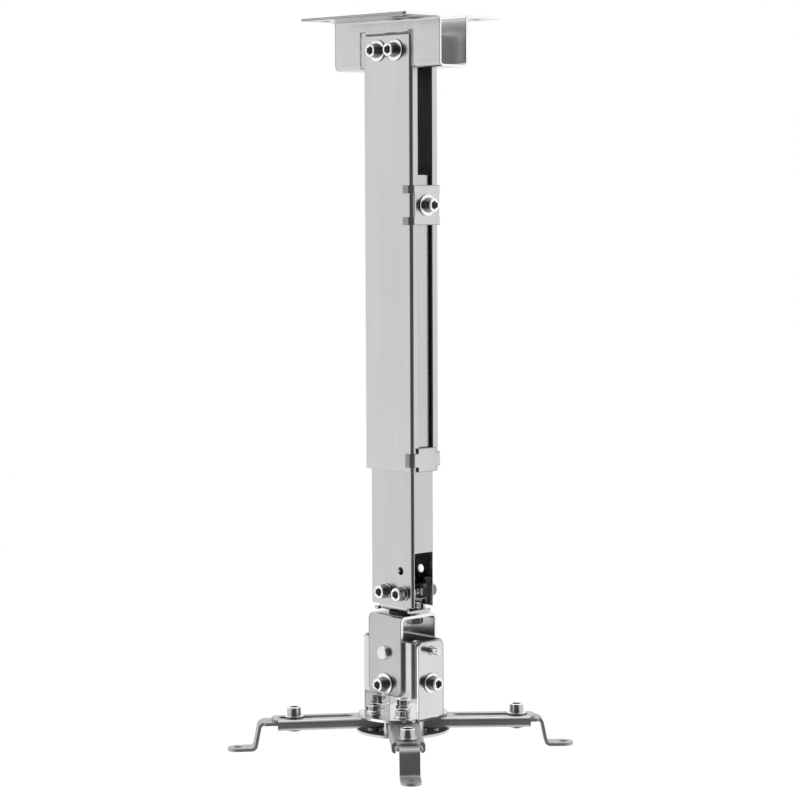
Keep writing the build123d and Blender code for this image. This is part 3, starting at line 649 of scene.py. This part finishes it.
# The cradle's faces that look along Y get a painted highlight, and its edges and folds painted shade.
finish("cradle", zinc_plated(
    "cradle_plating", tone=0.66, gloss=0.12, cloud=0.02, edge=0.0005, rim=0.25, band=0.0016, painted_light_axis="Y"))
flats, springs, screws, nuts = bolted_both_sides(
    [(cradle_face, 0, pitch_bolt_level)], along=(1, 0, 0), washer_radius=6.6, nut_depth=3.7, shank=11.0)
gathered("pitch_flat_washers", flats, "cradle", "pitch_lock_washers", *washer_finishes)
gathered("pitch_split_washers", springs, "cradle", "pitch_lock_spring_washers", spring_steel_and_washer_shade)
gathered("pitch_screws", screws, "cradle", "pitch_lock_bolts", *screw_finishes)
gathered("pitch_hexagon_nuts", nuts, "cradle", "pitch_lock_nuts", nut_zinc)


# Hub: four flanged M6 screws pass the cradle's plate, the arms, turned spacers and the lower disc, and the
# arms swing on them.
def spacer(outer, bore, height):
    """Turned sleeve with chamfered rims."""
    angles = np.linspace(0, 2 * np.pi, 48, endpoint=False)
    chamfer = 0.3
    radii = [bore, outer - chamfer, outer, outer, outer - chamfer, bore]
    heights = [0, 0, chamfer, height - chamfer, height, height]
    return turned(radii, heights, angles, closed=True)


# A darker grey for the hub and foot screws' knurls: painted shade.
painted_shade_hub_knurl_zinc = zinc_plated("painted_shade_hub_knurl_zinc", tone=0.52, gloss=0.12, grain=0.03, edge=0.00012)
hub_finishes = (bright_zinc, painted_shade_hub_knurl_zinc, socket_shade)
hub_teeth, hub_tooth = 36, 0.05
hub_side, hub_top, sleeve_bottom, disc_bottom = 13.0, -455.3, -465.35, -467.05
hub_places = [(x, y) for x in (-hub_side, hub_side) for y in (-hub_side, hub_side)]
finish("lower_disc", zinc_plated("disc_plating", tone=0.66, gloss=0.2, rim=0.6))
hub_head = screw_head(
    radius=4.6, height=4.9, socket=4.8, depth=2.4, teeth=hub_teeth, tooth=hub_tooth, flange=(5.4, 1.0))
hub_shank = screw_shank(m6_radius, m6_pitch, length=16.95, plain=8.0)
hub_sleeve = spacer(outer=5.6, bore=m6_nut_bore, height=6.45)
hub_nut = hexagon_nut(m6_nut_flats, m6_nut_bore, m6_nut_height)
gathered("hub_screws", [
    stood(piece, (x, y, hub_top), upwards, outwards) for x, y in hub_places for piece in (hub_head, hub_shank)
], "cradle", "hub_bolts", *hub_finishes)
gathered("hub_sleeves", [
    stood(hub_sleeve, (x, y, sleeve_bottom), upwards, outwards) for x, y in hub_places
], "cradle", "hub_spacers", bright_zinc)
gathered("hub_hexagon_nuts", [
    stood(hub_nut, (x, y, disc_bottom), downwards, outwards) for x, y in hub_places
], "cradle", "hub_nuts", nut_zinc)

# Arms and feet: lipped channels of 1.5 mm sheet, slotted along the top, and Z-shaped straps of 2 mm sheet
# that hang from an M6 screw in each slot. Each arm points its own way, as in the photograph.
arm_plating = zinc_plated(
    "arm_plating", tone=0.50, gloss=0.42, cloud=0.04, edge=0.0006, rim=0.6, band=0.0012)
foot_plating = zinc_plated("foot_plating", tone=0.45, gloss=0.50, cloud=0.04, edge=0.0006, rim=0.8)
arm_top, foot_underside = -457.25, -460.9
foot_head, washer_lift = 1.2, 0.04
foot_screw = (
    screw_head(radius=4.7, height=6.0, socket=5.6, depth=3.2, teeth=hub_teeth, tooth=hub_tooth),
    screw_shank(m6_radius, m6_pitch, length=11.05),
)
foot_washer = flat_washer(outer=6.4, inner=m6_washer_bore, thick=foot_head - washer_lift)
foot_nut = hexagon_nut(m6_nut_flats, m6_nut_bore, height=5.0)
arm_headings = {"front": -40.5, "left": -126.0, "rear": 135.0, "right": 48.0}
foot_bolts = {"front": 57.0, "left": 54.0, "rear": 57.0, "right": 56.8}
hub_corners = {"front": (1, -1), "left": (-1, -1), "rear": (-1, 1), "right": (1, 1)}
for name, heading in arm_headings.items():
    finish("arm_" + name, arm_plating)
    finish("foot_" + name, foot_plating)
    out = np.array([np.cos(np.radians(heading)), np.sin(np.radians(heading)), 0.0])
    seat = np.array([*hub_corners[name], 0]) * hub_side + foot_bolts[name] * out + (0, 0, arm_top)
    nut_seat = seat + (0, 0, foot_underside - arm_top)
    body = "foot_" + name
    gathered("foot_flat_washer_" + name, [
        stood(foot_washer, seat + (0, 0, washer_lift), upwards, out)
    ], body, "foot_washer_" + name, *washer_finishes)
    gathered("foot_screw_" + name, [
        stood(piece, seat + (0, 0, foot_head), upwards, out) for piece in foot_screw
    ], body, "foot_bolt_" + name, *hub_finishes)
    gathered("foot_hexagon_nut_" + name, [
        stood(foot_nut, nut_seat, downwards, out)
    ], body, "foot_nut_" + name, nut_zinc)
